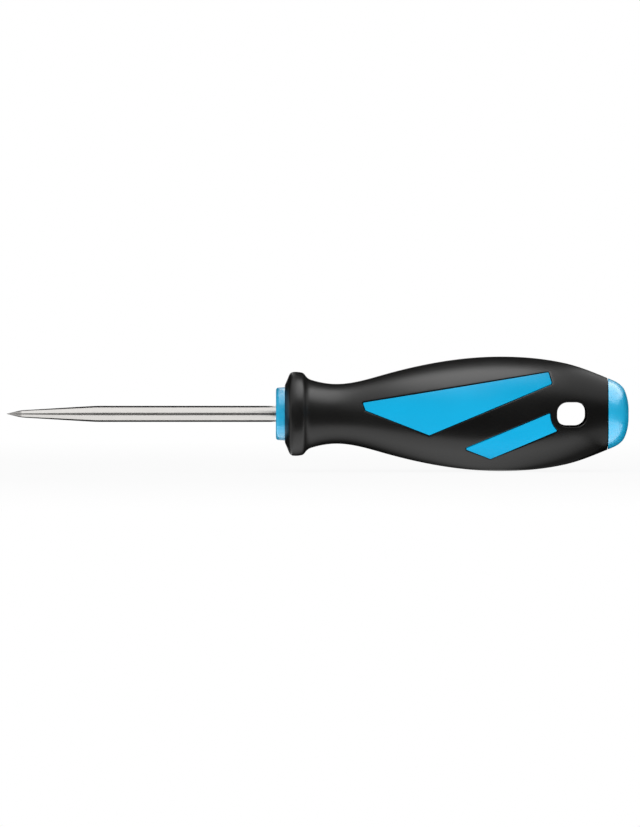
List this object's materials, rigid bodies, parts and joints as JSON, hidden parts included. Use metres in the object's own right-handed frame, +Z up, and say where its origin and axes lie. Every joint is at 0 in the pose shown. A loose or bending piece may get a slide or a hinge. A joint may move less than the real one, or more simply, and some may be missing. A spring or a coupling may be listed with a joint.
{
  "type": "awl",
  "caption": "Straight awl: round steel blade with a ground point, in a bellied soft-grip handle with a guard ring, coloured side panels and a hanging hole.",
  "frame": {"origin": "on the tool's axis, halfway between the blade's point and the handle's butt, which is the centre of the bounding box", "axes": "X along the tool, -X towards the point and +X towards the butt; Y along the hanging hole, -Y the side in the picture; Z up across the handle"},
  "size_m": [0.185, 0.0338, 0.0338],
  "materials": {
    "blade_steel": "satin, bright plated, fine lengthwise grind on the taper",
    "gloss_blue": "smooth moulded, semi-gloss",
    "matte_blue": "smooth moulded, low sheen",
    "soft_black": "matte soft-touch elastomer"
  },
  "bodies": {
    "root": {"blade": "blade_steel", "handle_core": "gloss_blue", "soft_grip": "soft_black", "butt_cap": "gloss_blue", "inlay_upper_near": "matte_blue", "inlay_lower_near": "matte_blue", "inlay_upper_far": "matte_blue", "inlay_lower_far": "matte_blue"}
  },
  "joints": []
}
